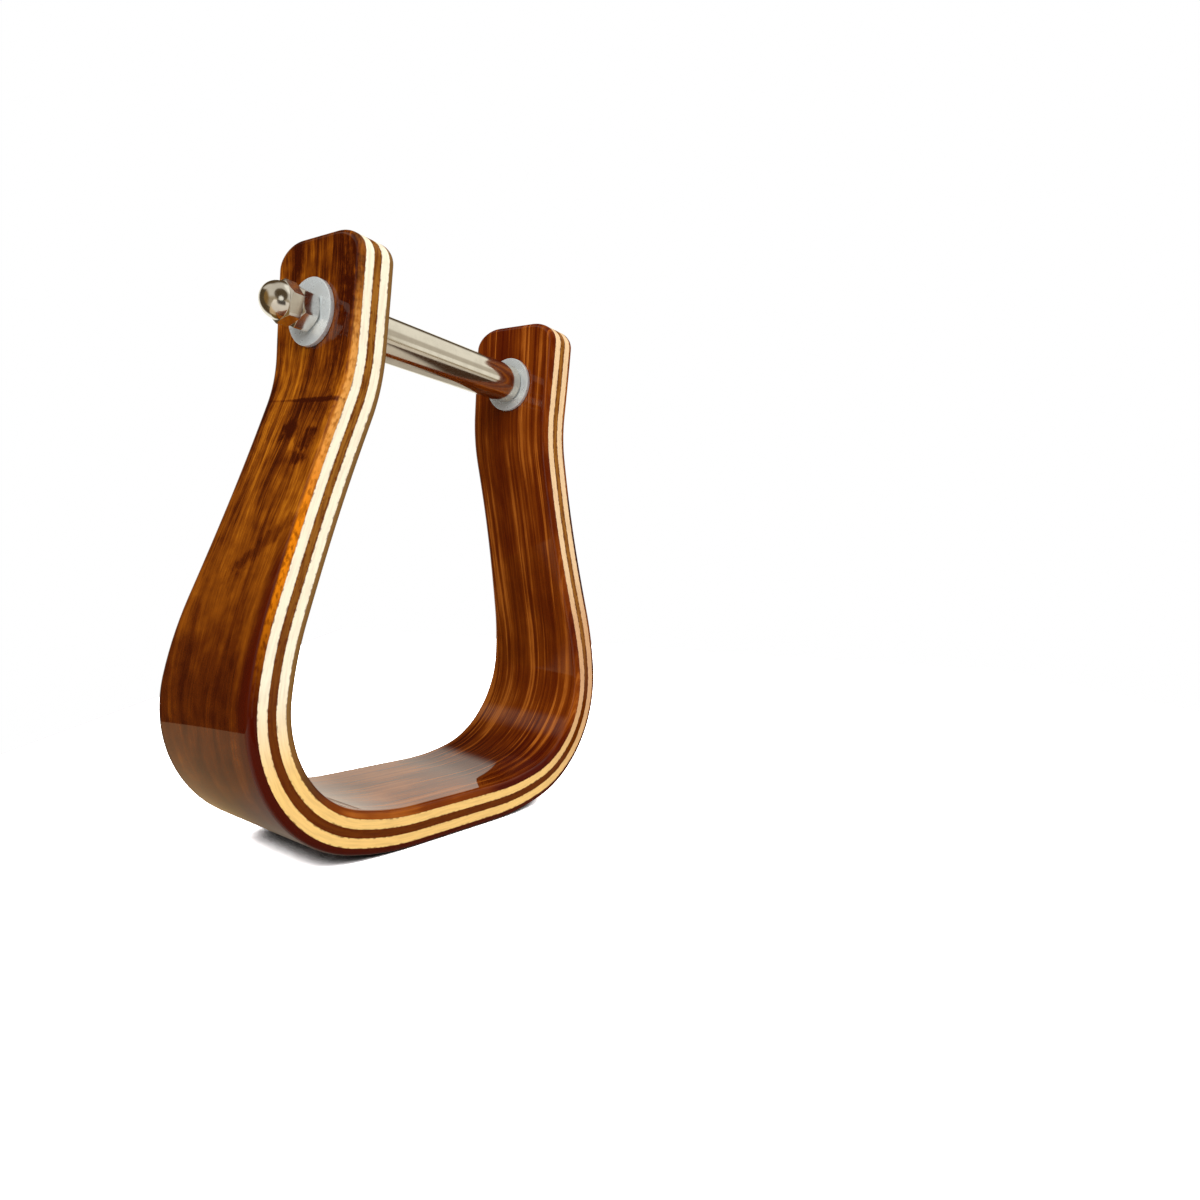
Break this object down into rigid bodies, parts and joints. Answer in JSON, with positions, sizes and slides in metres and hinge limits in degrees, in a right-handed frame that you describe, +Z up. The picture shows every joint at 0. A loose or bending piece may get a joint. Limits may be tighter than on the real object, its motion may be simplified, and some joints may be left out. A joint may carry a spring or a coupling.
{
  "type": "wooden stirrup",
  "caption": "Bell-shaped laminated wood riding stirrup with a flat tread, tapering legs and a bolt through the ears that carries a free spacer roller for the stirrup leather.",
  "frame": {"origin": "middle of the tread's flat underside, which is also the bottom centre of the stirrup's box", "axes": "+Z up along the legs, +X from the leg with the acorn nut to the leg with the bolt's head, -Y towards the front edge"},
  "size_m": [0.1558, 0.0492, 0.1838],
  "materials": {
    "rosewood": "high-gloss clear varnish over dark streaked veneer",
    "maple": "gloss varnish on pale edge grain",
    "walnut": "gloss varnish on brown edge grain",
    "nickel": "polished nickel plate",
    "zinc": "bright zinc plate"
  },
  "bodies": {
    "frame": {"outer_veneer": "rosewood", "outer_maple_ply": "maple", "core_ply": "walnut", "inner_maple_ply": "maple", "inner_veneer": "rosewood", "through_bolt": "nickel", "right_outer_washer": "zinc", "right_inner_washer": "zinc", "left_inner_washer": "zinc", "left_outer_washer": "zinc", "hex_nut": "nickel", "acorn_nut": "nickel"},
    "roller": {"spacer_roller": "nickel"}
  },
  "joints": [
    {"name": "roller_spin", "type": "hinge", "parent": "frame", "child": "roller", "pos_m": [0, 0, 0.16074], "axis": [1, 0, 0], "continuous": true}
  ]
}
